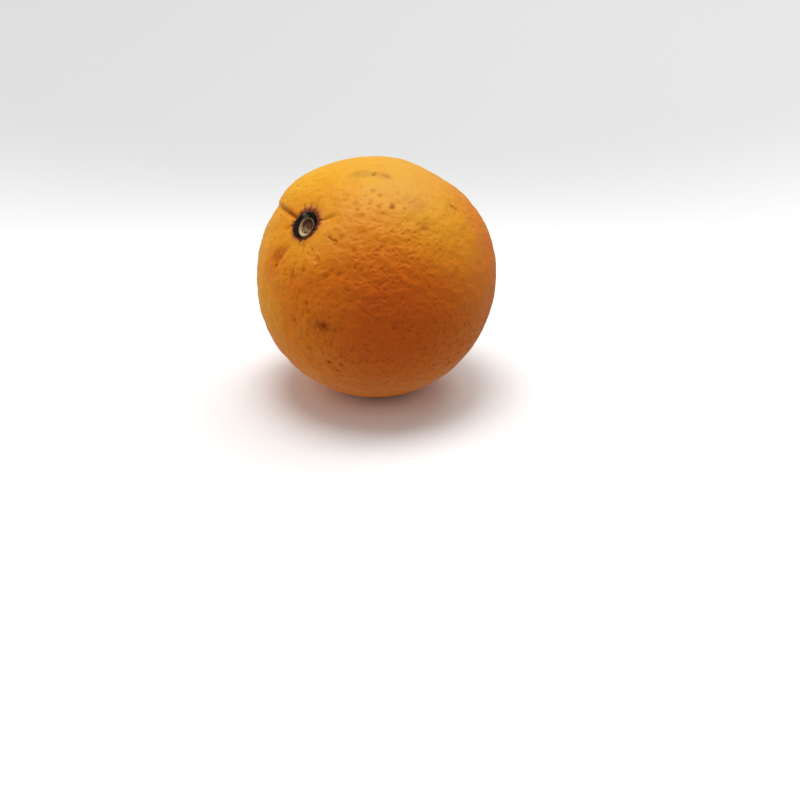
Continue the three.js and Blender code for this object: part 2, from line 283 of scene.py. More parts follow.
# Small sunken spots: angle from the stem, bearing and radius
PITS = [
    (33.8, -35, 0.7), (36.0, -41, 0.7), (29.8, -38, 0.5), (24.7, -43, 0.6), (31.4, -45, 0.6),
    (30.7, -48, 0.5), (29.9, -53, 0.6), (34.6, -52, 0.7), (40.6, -50, 0.6), (40.3, -53, 0.7),
    (44.1, -41, 0.6), (29.8, -26, 0.5), (22.6, -29, 0.5), (20.3, -34, 0.7), (24.9, -53, 0.6),
    (27.3, -60, 0.7), (36.2, -58, 0.5), (46.0, -53, 0.6), (23.2, -172, 0.9), (21.1, -155, 0.7),
    (13.4, -135, 0.5), (19.4, -131, 0.6), (28.5, -95, 0.7), (33.7, -104, 0.6), (36.9, -112, 0.7),
    (27.8, -131, 0.8), (41.0, -162, 0.6), (43.8, -171, 0.5), (24.0, 155, 0.7), (20.6, -90, 0.8),
    (47.0, -61, 0.6), (51.7, -63, 0.6), (30.9, -161, 0.9), (32.8, -165, 0.8), (44.5, -143, 0.5),
    (51.1, -139, 0.6), (50.8, -144, 0.7), (56.9, -151, 0.6), (57.7, -165, 0.6), (65.8, -158, 0.7),
    (68.3, -152, 0.6), (36.0, -157, 0.6), (39.8, -157, 0.8),
]
PIT_TINTS = (0.3, 0.75)
# Faint specks at random places, none of them close to the stem
MARK_SEED = 7
SPECKS = 60
SPECK_COSINES = (-1, 0.9)
SPECK_SIZES = (0.4, 0.9)
SPECK_KINDS = ["dark", "olive", "red"]
SPECK_STRENGTHS = (0.1, 0.35)
SPECK_SOFTNESS = 0.9
# How deep a mark of full strength lies in the peel. A pale one stands out instead.
MARK_DEPTHS = {"crack": 0.25, "dark": 0.12, "pit": 0.2, "pale": -0.1}

# The stage, in metres: a bowl with a flat floor, whose middle is a plate of its own
FLOOR_MIDDLE = 0.022
FLOOR_RING = 0.12
BOWL_FLAT = 0.2
BOWL_CURVE = 0.4
BOWL_STEPS = 40
BOWL_SECTORS = 96

# The lights: name, place and size in metres, power in watts, and whether the fruit mirrors it
LIGHTS = [
    ("overhead", (-0.07, 0.03, 0.89), 0.5, 3.75, True),
    ("behind", (0.31, 0.26, 0.79), 0.5, 1.55, True),
    ("side", (-0.83, 0.15, 0.0), 0.5, 1.9, False),
]
WORLD_STRENGTH = 0.48

# ---- colours and finishes --------------------------------------------------------------------------


def srgb(red, green, blue):
    """A colour given in the 0 to 255 numbers of a screen, as Blender's linear RGBA."""
    def linear(value):
        value /= 255
        return value / 12.92 if value <= 0.04045 else ((value + 0.055) / 1.055) ** 2.4
    return (linear(red), linear(green), linear(blue), 1.0)


# The peel, which two noises mottle. A third one, its grain, makes fine flecks.
PLAIN_ORANGE = srgb(212, 118, 14)
# A yellower orange, partly painted light on the fruit's top and upper sides.
YELLOW_AND_LIT_ORANGE = srgb(220, 165, 34)
# A deeper orange, partly painted shade on the fruit's front.
DEEP_AND_SHADED_ORANGE = srgb(202, 96, 6)
PALE_ORANGE = srgb(218, 150, 56)
DULL_ORANGE = srgb(200, 152, 80)
PORE_ORANGE = srgb(176, 84, 8)
PIT_SHADE = (0.68, 0.6, 0.42, 1)
MOTTLE_NOISES = [(12, 3), (4, 2)]
MOTTLE = 0.6
GRAIN_NOISE = (0.8, 3, 0.6)
FLECK_FALL = (0.35, 0.6)
FLECK_TINT = 0.15
PORE_TINT = 0.25
GRIT_NOISE = (0.35, 2, 0.6)
GRIT_HEIGHT = 0.015
PEEL_ROUGHNESS_RANGE = (0.18, 0.4)
PEEL_SPECULAR = 0.3
PEEL_IOR = 1.45

# The colour and the share of each mark on the peel, and those whose edge is ragged
MARK_TINTS = {
    "red": (srgb(150, 56, 16), 0.5),
    "olive": (srgb(160, 120, 34), 0.6),
    "pale": (srgb(240, 176, 84), 0.6),
    "dark": (srgb(74, 36, 12), 0.95),
    # painted shade in the creases
    "crease": (srgb(118, 50, 14), 0.8),
    # painted shade round the calyx's seat
    "brim_shade": (srgb(132, 62, 30), 0.85),
    "crack": (srgb(84, 32, 10), 0.9),
}
RAGGED_MARKS = ("red", "olive", "pale", "dark")
MARK_RAGGED_NOISE = (0.9, 3, 0.7)
MARK_RAGGED_RANGE = (3.0, -0.6)

# The calyx
CALYX_GREEN = srgb(32, 30, 14)
CALYX_BLACK = srgb(18, 12, 8)
CALYX_BROWN = srgb(62, 38, 28)
CALYX_BORDER = srgb(124, 66, 42)
CALYX_FLAKE_AND_GLINT = srgb(178, 172, 148)
CALYX_GRAIN_NOISE = (0.5, 4, 0.65)
CALYX_GRAIN_HEIGHT = 0.15
CALYX_LEAST_ROUGHNESS = 0.55
CALYX_MOTTLE_NOISE = (2.5, 2)
CALYX_MOTTLE_FALL = (0.4, 0.6)
CALYX_RIDGE_FALL = (0.6, 0.4)
CALYX_RAGGED_NOISE = (1.1, 3, 0.6)
CALYX_RAGGED_RANGE = (1.6, -0.8)
CALYX_FLAKE_AND_GLINT_FALL = (0.65, 0.4)

# The stub of the stalk and the threads in its cup
# The rim's cream lies on its lower side, partly as painted light over the wood's own cream.
STUB_LIT_CREAM = srgb(204, 184, 144)
STUB_TAN = srgb(160, 134, 94)
STUB_THIN = srgb(120, 98, 82)
CUP_TAN = srgb(120, 86, 52)
# This brown paints shade in the cup's upper half, with the darkest colour below, which also colours its
# dark threads.
CUP_SHADE_BROWN = srgb(84, 46, 26)
CUP_DARK = srgb(66, 36, 20)
CUP_PALE = srgb(184, 152, 114)
STUB_GRAIN_NOISE = (0.45, 4, 0.7)
STUB_GRAIN_HEIGHT = 0.12
STUB_LEAST_ROUGHNESS = 0.6
THREAD_NOISE = (0.6, 3, 0.6)
DARK_THREAD_FALL = (0.44, 0.52)
PALE_THREAD_FALL = (0.57, 0.5)
CUP_SHADE_FALL = (0.38, 0.55)
RIM_FLECK_FALL = (0.4, 0.56)
RIM_FLECK_TINT = 0.45

# How rough a dry surface can be, and how much it shines
DRY_ROUGHNESS = 0.9
DRY_SPECULAR = 0.2

# The floor, white below the fruit and grey on the wall behind it as painted shade. The fall is in
# metres.
FLOOR_WHITE = srgb(240, 240, 240)
WALL_SHADE_GREY = srgb(205, 206, 205)
WALL_SHADE_FALL = (0.07, 0.3)
FLOOR_ROUGHNESS = 0.8

# ---- the fruit's form ------------------------------------------------------------------------------


def bell(distance, reach):
    return np.exp(-((distance / reach) ** 2))


def smoothstep(value, low, high):
    share = np.clip((value - low) / (high - low), 0, 1)
    return share * share * (3 - 2 * share)


def wrapped(turn):
    """The same turns, in radians, each within half a turn of 0."""
    return np.arctan2(np.sin(turn), np.cos(turn))


def polar_direction(angle, bearing):
    """Unit vectors at angles from the stem and bearings round it, in radians."""
    level = np.sin(angle)
    return np.stack([level * np.cos(bearing), level * np.sin(bearing), np.cos(angle)], -1)


def stem_turn():
    """The rotation from the stem's axes to the way the fruit lies."""
    azimuth, elevation = math.radians(STEM_AZIMUTH), math.radians(STEM_ELEVATION)
    level = math.cos(elevation)
    stem = Vector((level * math.sin(azimuth), -level * math.cos(azimuth), math.sin(elevation)))
    upper = (Vector((0, 0, 1)) - stem * stem.z).normalized()
    return np.array([upper, stem.cross(upper), stem]).T


TURN = stem_turn()
CENTRE = np.array([0, 0, CENTRE_HEIGHT])


def as_it_lies(points):
    """Points about the stem's axes, in millimetres, as they lie, in metres."""
    return (points @ TURN.T + CENTRE) * MM


class Surface:
    """Directions from the fruit's centre, with the arc from the stem and the bearing of each."""

    def __init__(self, directions):
        self.directions = directions
        angle = np.arccos(np.clip(directions[:, 2], -1, 1))
        self.arc = FRUIT_RADIUS * angle
        self.arc_to_scar = FRUIT_RADIUS * (math.pi - angle)
        self.bearing = np.arctan2(directions[:, 1], directions[:, 0])

    def sideways(self, bearing):
        """How far each point lies to the side of a line straight out from the stem."""
        turn = self.bearing - math.radians(bearing)
        return np.where(np.cos(turn) > 0, self.arc * np.sin(turn), np.inf)

    def swell(self, angle, bearing, spread, height):
        middle = polar_direction(math.radians(angle), math.radians(bearing))
        away = np.degrees(np.arccos(np.clip(self.directions @ middle, -1, 1)))
        return height * bell(away, spread)

    def crease(self, bearing, start, end, width, depth):
        share = smoothstep(self.arc, start, start + CREASE_START)
        share *= 1 - smoothstep(self.arc, (start + end) / 2, end)
        return depth * share * bell(self.sideways(bearing), width)

    def base_radius(self):
        """The fruit's form without its pores."""
        radius = FRUIT_RADIUS - POLE_FLATTENING * self.directions[:, 2] ** 2
        edge = smoothstep(-self.sideways(MAIN_CREASE[0]), *SHOULDER_EDGE)
        radius += self.swell(*SHOULDER) * edge
        for swell in SWELLS:
            radius += self.swell(*swell)
        radius -= STEM_HOLLOW[0] * bell(self.arc, STEM_HOLLOW[1])
        radius -= BLOSSOM_HOLLOW[0] * bell(self.arc_to_scar, BLOSSOM_HOLLOW[1])
        radius -= BLOSSOM_PIT[0] * bell(self.arc_to_scar, BLOSSOM_PIT[1])
        for crease in [MAIN_CREASE, *SHORT_CREASES]:
            radius -= self.crease(*crease)
        return radius


def geodesic_sphere(steps):
    """Unit directions and triangles of an icosahedron whose faces are cut into steps x steps."""
    bm = bmesh.new()
    bmesh.ops.create_icosphere(bm, subdivisions=1, radius=1)
    corners = np.array([[v.co for v in face.verts] for face in bm.faces], float)
    bm.free()
    row, column = np.array([(i, j) for i in range(steps + 1) for j in range(steps + 1 - i)]).T
    number = -np.ones((steps + 2, steps + 2), int)
    number[row, column] = np.arange(len(row))
    shares = np.stack([steps - row - column, row, column], 1) / steps
    points = np.einsum("pk,fkc->fpc", shares, corners)
    lower = [(number[i, j], number[i + 1, j], number[i, j + 1])
             for i in range(steps) for j in range(steps - i)]
    upper = [(number[i + 1, j], number[i + 1, j + 1], number[i, j + 1])
             for i in range(steps - 1) for j in range(steps - 1 - i)]
    local = np.array(lower + upper)
    triangles = (local[None] + np.arange(len(corners))[:, None, None] * len(row)).reshape(-1, 3)
    points = points.reshape(-1, 3)
    points /= np.linalg.norm(points, axis=1, keepdims=True)
    rounded = np.round(points, SAME_DECIMALS)
    _, first, again = np.unique(rounded, axis=0, return_index=True, return_inverse=True)
    return points[first], again.ravel()[triangles]


def gather_to_stem(directions):
    """Draws the directions together round the stem, where the finest forms are."""
    angle = np.arccos(np.clip(directions[:, 2], -1, 1))
    bearing = np.arctan2(directions[:, 1], directions[:, 0])
    return polar_direction(angle * (1 - STEM_GATHER * bell(angle, GATHER_REACH)), bearing)


def make_mesh(name, points, faces, marks):
    """A smooth mesh in metres, with a number at each vertex for each named mark."""
    mesh = bpy.data.meshes.new(name)
    mesh.from_pydata(points.tolist(), [], faces)
    mesh.update()
    mesh.shade_smooth()
    for mark, values in marks.items():
        mesh.attributes.new(mark, "FLOAT", "POINT").data.foreach_set("value", values.astype(np.float32))
    piece = bpy.data.objects.new(name, mesh)
    bpy.context.scene.collection.objects.link(piece)
    return piece


# ---- node helpers ----------------------------------------------------------------------------------


class Nodes:
    """Builds nodes in a tree, with plain numbers, colours or sockets as inputs."""

    def __init__(self, tree):
        self.tree = tree

    def add(self, kind, output=0, inputs=None, **settings):
        node = self.tree.nodes.new(kind)
        for name, value in settings.items():
            setattr(node, name, value)
        for name, value in (inputs or {}).items():
            self.feed(node.inputs[name], value)
        return node.outputs[output]

    def feed(self, socket, value):
        if isinstance(value, bpy.types.NodeSocket):
            self.tree.links.new(value, socket)
        else:
            socket.default_value = value

    def math(self, operation, a, b=0.0, clamp=False):
        return self.add("ShaderNodeMath", inputs={0: a, 1: b}, operation=operation, use_clamp=clamp)

    def times(self, a, b, clamp=False):
        return self.math("MULTIPLY", a, b, clamp)

    def linear(self, value, factor, offset):
        """value * factor + offset."""
        inputs = {0: value, 1: factor, 2: offset}
        return self.add("ShaderNodeMath", inputs=inputs, operation="MULTIPLY_ADD")

    def vector(self, operation, a, b=(0, 0, 0)):
        return self.add("ShaderNodeVectorMath", inputs={0: a, 1: b}, operation=operation)

    def scale(self, a, factor):
        return self.add("ShaderNodeVectorMath", inputs={"Vector": a, "Scale": factor}, operation="SCALE")

    def noise(self, vector, length, detail, roughness=0.5):
        inputs = {"Vector": vector, "Scale": 1 / length, "Detail": detail, "Roughness": roughness}
        return self.add("ShaderNodeTexNoise", "Fac", inputs)

    def fall(self, value, low, high):
        """1 at low and before it, 0 at high and beyond it, smooth between. low can be the larger."""
        inputs = {"Value": value, "From Min": low, "From Max": high, "To Min": 1.0, "To Max": 0.0}
        return self.add("ShaderNodeMapRange", inputs=inputs, interpolation_type="SMOOTHSTEP")

    def mix(self, share, a, b, blend="MIX"):
        """a where the share is 0, b, or the blend of both, where it is 1."""
        node = self.tree.nodes.new("ShaderNodeMix")
        node.data_type = "RGBA"
        node.blend_type = blend
        self.feed(node.inputs["Factor"], share)
        self.feed(node.inputs[6], a)
        self.feed(node.inputs[7], b)
        return node.outputs[2]

    def place(self):
        """The place on the object, in millimetres."""
        return self.scale(self.add("ShaderNodeTexCoord", "Object"), 1 / MM)

    def mark(self, name):
        """The number that the mesh holds for a named mark."""
        return self.add("ShaderNodeAttribute", "Fac", attribute_name=name)

    def bump(self, height, unit, beneath=None):
        """The normal of a relief whose height is in units of so many millimetres, on one beneath."""
        inputs = {"Height": height, "Distance": unit * MM}
        if beneath is not None:
            inputs["Normal"] = beneath
        return self.add("ShaderNodeBump", inputs=inputs)


def new_material(name):
    """A material with its node helper and its Principled shader."""
    material = bpy.data.materials.new(name)
    material.use_nodes = True
    return material, Nodes(material.node_tree), material.node_tree.nodes["Principled BSDF"]


# ---- the peel --------------------------------------------------------------------------------------


def near(nodes, place, angle, bearing, low, high):
    """1 close to a spot of the peel, 0 far from it: low and high are distances in millimetres."""
    middle = TURN @ polar_direction(math.radians(angle), math.radians(bearing)) * FRUIT_RADIUS
    inputs = {0: place, 1: tuple(middle)}
    away = nodes.add("ShaderNodeVectorMath", "Value", inputs, operation="DISTANCE")
    return nodes.fall(away, low, high)


def raised_near(nodes, place, start, places):
    """start, raised near each of the places by its share and kept from 0 to 1."""
    for *where, share in places:
        start = nodes.linear(near(nodes, place, *where), share, start)
    return nodes.math("ADD", start, 0.0, clamp=True)


def cells(nodes, place, size):
    """How far a place is from the middle of its cell, in cells, and a number of the cell's own."""
    pattern = nodes.tree.nodes.new("ShaderNodeTexVoronoi")
    nodes.feed(pattern.inputs["Vector"], place)
    nodes.feed(pattern.inputs["Scale"], 1 / size)
    own = nodes.add("ShaderNodeSeparateXYZ", 0, {"Vector": pattern.outputs["Color"]})
    return pattern.outputs["Distance"], own


def wobbled(nodes, place):
    """A place moved by up to about WOBBLE in each direction, smoothly."""
    inputs = {"Vector": place, "Scale": 1 / WOBBLE_LENGTH, "Detail": WOBBLE_DETAIL}
    wobble = nodes.add("ShaderNodeTexNoise", "Color", inputs)
    shift = nodes.scale(nodes.vector("SUBTRACT", wobble, (NOISE_MIDDLE,) * 3), 2 * WOBBLE)
    return nodes.vector("ADD", place, shift)


def peel_height(nodes, place):
    """The height of the peel's relief at a place on the fruit's round form, in millimetres, with how
    deep it lies in a pore and in a pit and how rough the peel is there. The same nodes shape the mesh
    and colour it, so both meet."""
    shifted = wobbled(nodes, place)
    away, own = cells(nodes, shifted, PORE_CELL)
    pore = nodes.times(nodes.fall(away, *PORE_FALL), nodes.linear(own, *PORE_RANGE))
    away, own = cells(nodes, shifted, PIT_CELL)
    pit = nodes.times(nodes.fall(away, *PIT_FALL), nodes.fall(own, *PIT_CHANCE_FALL))
    pebble = nodes.math("SUBTRACT", nodes.noise(place, *PEBBLE_NOISE), NOISE_MIDDLE)
    lump = nodes.math("SUBTRACT", nodes.noise(place, *LUMP_NOISE), NOISE_MIDDLE)
    rough = nodes.linear(nodes.noise(place, *PATCH_NOISE), *PATCH_RANGE)
    for *where, share in CALM_PLACES:
        rough = nodes.times(rough, nodes.linear(near(nodes, place, *where), -share, 1.0))
    fine = nodes.math("SUBTRACT", nodes.times(pebble, 2 * PEBBLE_HEIGHT), nodes.times(pore, PORE_DEPTH))
    height = nodes.math("ADD", nodes.times(fine, rough), nodes.times(lump, 2 * LUMP_HEIGHT))
    pit = nodes.times(pit, rough, clamp=True)
    height = nodes.math("SUBTRACT", height, nodes.times(pit, PIT_DEPTH))
    return height, pore, pit, rough


def peel_relief(directions):
    """The height of the relief in each direction, read from a helper mesh."""
    mesh = bpy.data.meshes.new("probe")
    mesh.vertices.add(len(directions))
    mesh.vertices.foreach_set("co", (directions * FRUIT_RADIUS).ravel())
    probe = bpy.data.objects.new("probe", mesh)
    bpy.context.scene.collection.objects.link(probe)
    tree = bpy.data.node_groups.new("probe", "GeometryNodeTree")
    tree.interface.new_socket("Geometry", in_out="INPUT", socket_type="NodeSocketGeometry")
    tree.interface.new_socket("Geometry", in_out="OUTPUT", socket_type="NodeSocketGeometry")
    nodes = Nodes(tree)
    height = peel_height(nodes, nodes.add("GeometryNodeInputPosition"))[0]
    stored = nodes.add("GeometryNodeStoreNamedAttribute", inputs={
        "Geometry": nodes.add("NodeGroupInput"), "Name": "height", "Value": height})
    nodes.feed(tree.nodes.new("NodeGroupOutput").inputs[0], stored)
    probe.modifiers.new("probe", "NODES").node_group = tree
    shaped = probe.evaluated_get(bpy.context.evaluated_depsgraph_get()).data
    found = np.zeros(len(directions), np.float32)
    shaped.attributes["height"].data.foreach_get("value", found)
    bpy.data.objects.remove(probe)
    bpy.data.meshes.remove(mesh)
    bpy.data.node_groups.remove(tree)
    return found.astype(float)


def spot(surface, angle, bearing, length, width, turn=0.0, soft=MARK_SOFTNESS):
    """1 in an oval spot on the surface, 0 outside. Its length runs away from the stem, turned."""
    angle, bearing, turn = map(math.radians, (angle, bearing, turn))
    middle = polar_direction(angle, bearing)
    away = polar_direction(angle + math.pi / 2, bearing)
    aside = np.cross(middle, away)
    along = math.cos(turn) * away + math.sin(turn) * aside
    across = math.cos(turn) * aside - math.sin(turn) * away
    places = surface.directions * FRUIT_RADIUS
    reach = np.hypot(places @ along / length, places @ across / width)
    return np.where(surface.directions @ middle > 0, 1 - smoothstep(reach, 1 - soft, 1 + soft), 0)


def point_reach(bearing):
    """How far the calyx's points reach past its round edge at each bearing."""
    reach = np.zeros_like(bearing)
    for middle, length in CALYX_POINTS:
        turn = np.degrees(np.abs(wrapped(bearing - math.radians(middle))))
        reach = np.maximum(reach, length * (1 - turn / POINT_HALF_WIDTH))
    return reach


def about_calyx(surface):
    """The distance and bearing of each point from the calyx's own middle, along the peel."""
    middle = math.radians(CALYX_BEARING)
    x = surface.arc * np.cos(surface.bearing) - CALYX_OFFSET * math.cos(middle)
    y = surface.arc * np.sin(surface.bearing) - CALYX_OFFSET * math.sin(middle)
    return np.hypot(x, y), np.arctan2(y, x)


def calyx_cracks(surface):
    """How deep each point lies in one of the thin cracks round the calyx, from 0 to 1."""
    away, bearing = about_calyx(surface)
    cracks = np.zeros(len(away))
    for middle, length in CALYX_POINTS:
        turn = bearing - math.radians(middle)
        aside = np.where(np.cos(turn) > 0, away * np.sin(turn), np.inf)
        share = np.clip((away - CALYX_RADIUS) / (CRACK_STRETCH * length), 0, 1)
        width = CRACK_HALF_WIDTHS[0] + (CRACK_HALF_WIDTHS[1] - CRACK_HALF_WIDTHS[0]) * share
        cracks = np.maximum(cracks, bell(aside, width) * (1 - share) ** CRACK_FADE)
    return cracks


def crease_shade(surface):
    """How much brown painted shade lies on each point in the creases' beds, from 0 to 1."""
    fade = 1 - CREASE_SHADE_FADE * smoothstep(surface.arc, *CREASE_SHADE_FADE_EDGE)
    tint = surface.crease(*CREASE_SHADE) * fade
    for bearing, start, end, width, depth in SHORT_CREASES:
        short_shade = surface.crease(bearing, start, end, CREASE_SHADE_WIDTH * width, CREASE_SHADE_STRENGTH * depth)
        tint = np.maximum(tint, short_shade)
    return tint


def seat_shade(surface, edge):
    """How much brown painted shade lies on the peel round the calyx's seat: 1 inside the seat, and
    fading outside.
    """
    growth = BRIM_SHADE_GROWTH * bell(surface.bearing - BRIM_SHADE_BEARING, BRIM_SHADE_SPREAD)
    return np.where(edge > 0, bell(edge, BRIM_SHADE_REACH + growth), 1.0)


def peel_marks(surface, edge):
    """Where the peel is stained, creased or scarred, and where painted shade lies in its creases and
    round the calyx, from 0 to 1 at each vertex. edge is how far the vertex lies outside the calyx's
    seat."""
    marks = {name: np.zeros(len(surface.arc)) for name in ("dark", "olive", "red", "pale", "pit")}

    def add(kind, strength, *place, **settings):
        marks[kind] = np.maximum(marks[kind], strength * spot(surface, *place, **settings))

    for mark in MARKS:
        add(*mark)
    draw = np.random.default_rng(MARK_SEED)
    for angle, bearing, size in PITS:
        add("pit", draw.uniform(*PIT_TINTS), angle, bearing, size, size, soft=SPECK_SOFTNESS)
    for _ in range(SPECKS):
        angle = math.degrees(math.acos(draw.uniform(*SPECK_COSINES)))
        bearing = draw.uniform(-180, 180)
        size = draw.uniform(*SPECK_SIZES)
        kind = draw.choice(SPECK_KINDS)
        add(kind, draw.uniform(*SPECK_STRENGTHS), angle, bearing, size, size, soft=SPECK_SOFTNESS)
    scar = 1 - smoothstep(surface.arc_to_scar, *BLOSSOM_SCAR_EDGE)
    marks["dark"] = np.maximum(marks["dark"], scar)
    marks["crease"] = crease_shade(surface)
    marks["brim_shade"] = seat_shade(surface, edge)
    marks["crack"] = calyx_cracks(surface)
    return marks


def peel():
    directions, triangles = geodesic_sphere(SPHERE_STEPS)
    surface = Surface(gather_to_stem(directions))
    away, bearing = about_calyx(surface)
    edge = away - CALYX_RADIUS - SEAT_POINT_SHARE * point_reach(bearing)
    marks = peel_marks(surface, edge)
    radius = surface.base_radius() + peel_relief(surface.directions @ TURN.T)
    radius += BRIM_SWELL * bell(edge - BRIM_DISTANCE, BRIM_SPREAD)
    radius -= surface.crease(*CREASE_LINE) + SEAT_DEPTH * smoothstep(-edge, *SEAT_EDGE)
    for mark, depth in MARK_DEPTHS.items():
        radius -= depth * marks[mark]
    points = as_it_lies(surface.directions * radius[:, None])
    points[:, 2] = np.maximum(points[:, 2], 0)
    return make_mesh("orange_peel", points, triangles.tolist(), marks)


def peel_colour(nodes, place, grain, pore, rough, sunken):
    mottle = -MOTTLE
    for noise in MOTTLE_NOISES:
        mottle = nodes.linear(nodes.noise(place, *noise), MOTTLE, mottle)
    # Yellower on the top and upper sides as painted light, and deeper orange on the front as painted
    # shade, over the peel's own mottle.
    yellow_and_lit = raised_near(nodes, place, mottle, YELLOW_AND_LIT_PLACES)
    deep_and_shaded = raised_near(nodes, place, mottle, DEEP_AND_SHADED_PLACES)
    colour = nodes.mix(deep_and_shaded, nodes.mix(yellow_and_lit, PLAIN_ORANGE, YELLOW_AND_LIT_ORANGE), DEEP_AND_SHADED_ORANGE)
    for (*where, share), tint in ((PALE_PLACE, PALE_ORANGE), (DULL_PLACE, DULL_ORANGE)):
        colour = nodes.mix(nodes.times(near(nodes, place, *where), share), colour, tint)
    fleck = nodes.times(nodes.fall(grain, *FLECK_FALL), FLECK_TINT)
    fleck = nodes.linear(pore, PORE_TINT, fleck)
    colour = nodes.mix(nodes.times(fleck, rough), colour, PORE_ORANGE)
    colour = nodes.mix(sunken, colour, PIT_SHADE, "MULTIPLY")
    ragged = nodes.linear(nodes.noise(place, *MARK_RAGGED_NOISE), *MARK_RAGGED_RANGE)
    for name, (tint, share) in MARK_TINTS.items():
        amount = nodes.mark(name)
        if name in RAGGED_MARKS:
            amount = nodes.times(amount, ragged, clamp=True)
        colour = nodes.mix(nodes.times(amount, share, clamp=True), colour, tint)
    return colour


def peel_material():
    material, nodes, shader = new_material("orange_peel")
    position = nodes.add("ShaderNodeTexCoord", "Object")
    outwards = nodes.vector("NORMALIZE", nodes.vector("SUBTRACT", position, tuple(CENTRE * MM)))
    place = nodes.scale(outwards, FRUIT_RADIUS)
    height, pore, pit, rough = peel_height(nodes, place)
    grain = nodes.noise(place, *GRAIN_NOISE)
    sunken = nodes.math("ADD", nodes.mark("pit"), nodes.times(pit, PORE_TINT), clamp=True)
    dull = nodes.math("ADD", nodes.mark("dark"), sunken, clamp=True)
    grit = nodes.times(nodes.noise(place, *GRIT_NOISE), rough)
    normal = nodes.bump(grit, GRIT_HEIGHT, nodes.bump(height, BUMP_SHARE))
    nodes.feed(shader.inputs["Base Color"], peel_colour(nodes, place, grain, pore, rough, sunken))
    nodes.feed(shader.inputs["Roughness"], nodes.linear(grain, *PEEL_ROUGHNESS_RANGE))
    nodes.feed(shader.inputs["Normal"], normal)
    nodes.feed(shader.inputs["Specular IOR Level"], nodes.linear(dull, -PEEL_SPECULAR, PEEL_SPECULAR))
    shader.inputs["IOR"].default_value = PEEL_IOR
    return material


# ---- the calyx and the stem stub -------------------------------------------------------------------


def turned_mesh(name, section, rings, sectors, shape):
    """A closed body turned about the stem's axis from a section of radius and height, from the middle
    of its underside to the middle of its top. shape moves the rings' points and gives the marks."""
    section = np.array(section, float)
    run = np.concatenate([[0], np.cumsum(np.linalg.norm(np.diff(section, axis=0), axis=1))])
    at = np.unique(np.concatenate([np.linspace(0, run[-1], rings), run]))[1:-1]
    radius = np.repeat(np.interp(at, run, section[:, 0]), sectors)
    height = np.repeat(np.interp(at, run, section[:, 1]), sectors)
    bearing = np.tile(np.arange(sectors) * 2 * math.pi / sectors, len(at))
    points, marks = shape(radius, height, bearing)
    ends = np.array([[0, 0, section[0, 1]], [0, 0, section[-1, 1]]])
    ends[:, :2] += points[-sectors:, :2].mean(0)
    count = len(points)
    number = np.arange(count).reshape(len(at), sectors)
    beside = np.roll(number, -1, 1)
    faces = np.stack([number[:-1], beside[:-1], beside[1:], number[1:]], -1).reshape(-1, 4).tolist()
    faces += [(count, b, a) for a, b in zip(number[0].tolist(), beside[0].tolist())]
    faces += [(count + 1, a, b) for a, b in zip(number[-1].tolist(), beside[-1].tolist())]
    marks = {key: np.append(values, [values[:sectors].mean(), values[-sectors:].mean()])
             for key, values in marks.items()}
    return make_mesh(name, as_it_lies(np.vstack([points, ends])), faces, marks)


def ripples(bearing, rows):
    """Wavy lines round the axis, added up, each of a few whole waves and about as high as its row
    says."""
    total = np.zeros_like(bearing)
    for height, seed, fewest, limit, count in rows:
        draw = np.random.default_rng(seed)
        waves = sum(np.sin(wave * bearing + draw.uniform(0, 2 * math.pi))
                    for wave in draw.integers(fewest, limit, count))
        total += height * waves / math.sqrt(count)
    return total


def calyx_shape(radius, height, bearing):
    rim = smoothstep(radius, *CALYX_RIM_EDGE)
    above = smoothstep(height, *CALYX_TOP_EDGE)
    reach = point_reach(bearing)
    spread = radius + rim * (reach + ripples(bearing, CALYX_OUTLINE_RIPPLES))
    middle = math.radians(CALYX_BEARING)
    x = spread * np.cos(bearing) + CALYX_OFFSET * math.cos(middle)
    y = spread * np.sin(bearing) + CALYX_OFFSET * math.sin(middle)
    folds = ripples(bearing, CALYX_FOLD_RIPPLES)
    turn = np.degrees(wrapped(bearing))
    pale = bell(radius - PALE_MIDDLE[0], PALE_SPREAD[0]) * bell(turn - PALE_MIDDLE[1], PALE_SPREAD[1])
    lift = above * (folds * (1 - RIM_FOLD_LOSS * rim) - POINT_DROOP * rim * reach + PALE_RISE * pale)
    marks = {
        "ridge": above * np.clip(RIDGE_CONTRAST * folds, 0, 1),
        "pale": pale,
        "edge": smoothstep(radius, *CALYX_BORDER_EDGE),
    }
    return np.stack([x, y, height + lift], -1), marks


def calyx():
    return turned_mesh("calyx_button", CALYX_SECTION, *CALYX_MESH, calyx_shape)


